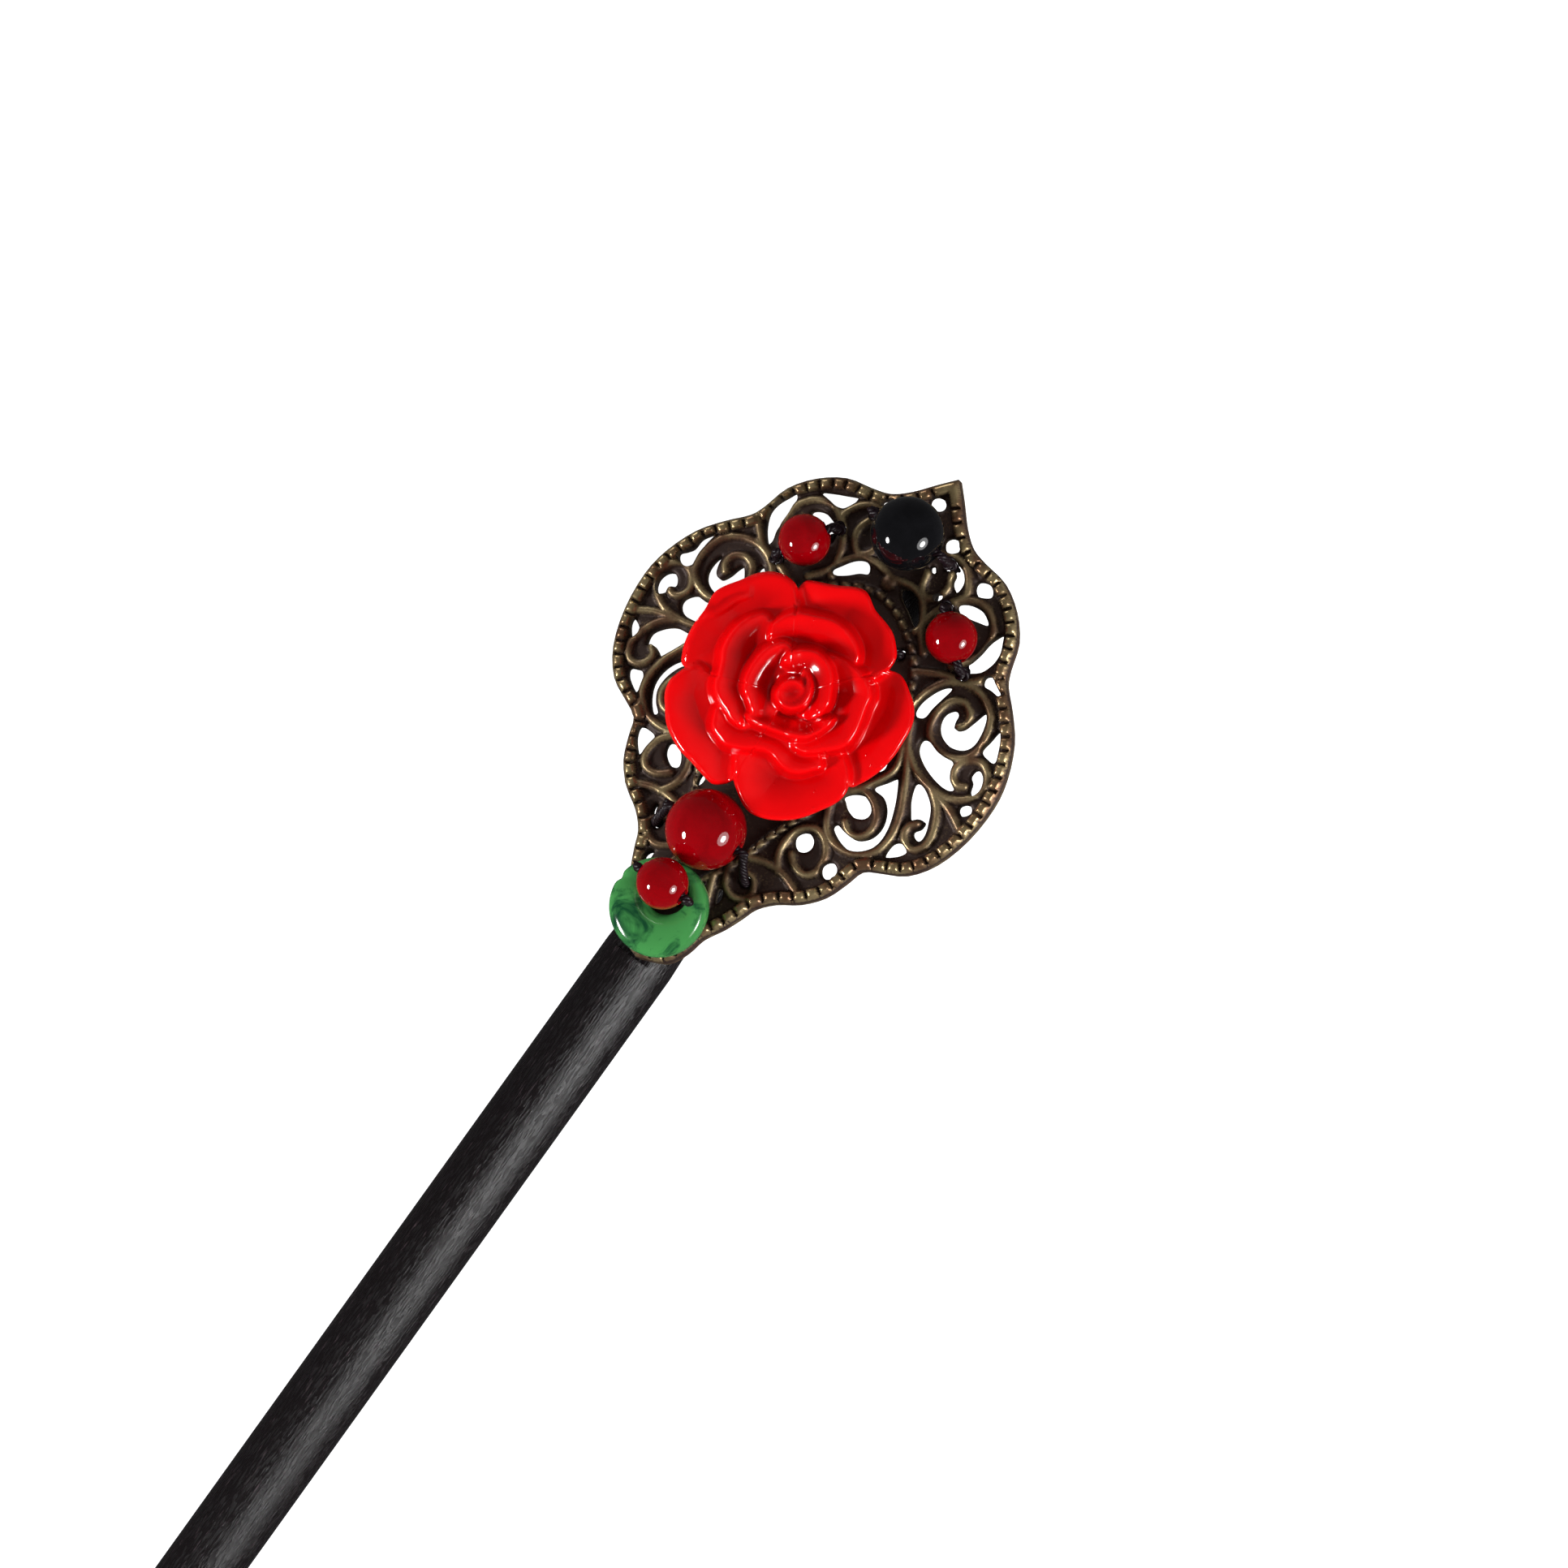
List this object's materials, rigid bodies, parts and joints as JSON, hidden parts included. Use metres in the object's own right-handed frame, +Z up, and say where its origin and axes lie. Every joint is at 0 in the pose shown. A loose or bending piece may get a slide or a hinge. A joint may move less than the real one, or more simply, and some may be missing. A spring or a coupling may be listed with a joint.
{
  "type": "hair stick",
  "caption": "Wooden hair stick with a pierced bronze-toned plate, a moulded rose, drilled beads and a stone ring, for pinning up a bun of hair.",
  "frame": {"origin": "middle of the bounding box on the surface that it lies on", "axes": "+X along the stick towards the plate's tip, +Y towards the plate's lower side edge, +Z up"},
  "size_m": [0.18, 0.0341, 0.0153],
  "materials": {
    "stained_wood": "black-stained, satin",
    "antique_bronze": "antique bronze plating with dark patina in the recesses",
    "red_resin": "glossy moulded resin",
    "black_stone": "polished",
    "red_agate": "polished",
    "green_stone": "polished, with darker veins",
    "braided_thread": "braided, dark purple-brown"
  },
  "bodies": {
    "root": {"stick": "stained_wood", "filigree_plate": "antique_bronze", "rose": "red_resin", "black_bead": "black_stone", "large_red_bead": "red_agate", "side_bead_left": "red_agate", "side_bead_right": "red_agate", "base_bead": "red_agate", "green_ring": "green_stone", "black_bead_tie": "braided_thread", "large_bead_tie": "braided_thread", "side_tie_left": "braided_thread", "side_tie_right": "braided_thread", "base_tie": "braided_thread", "rose_lashing": "braided_thread"}
  },
  "joints": []
}
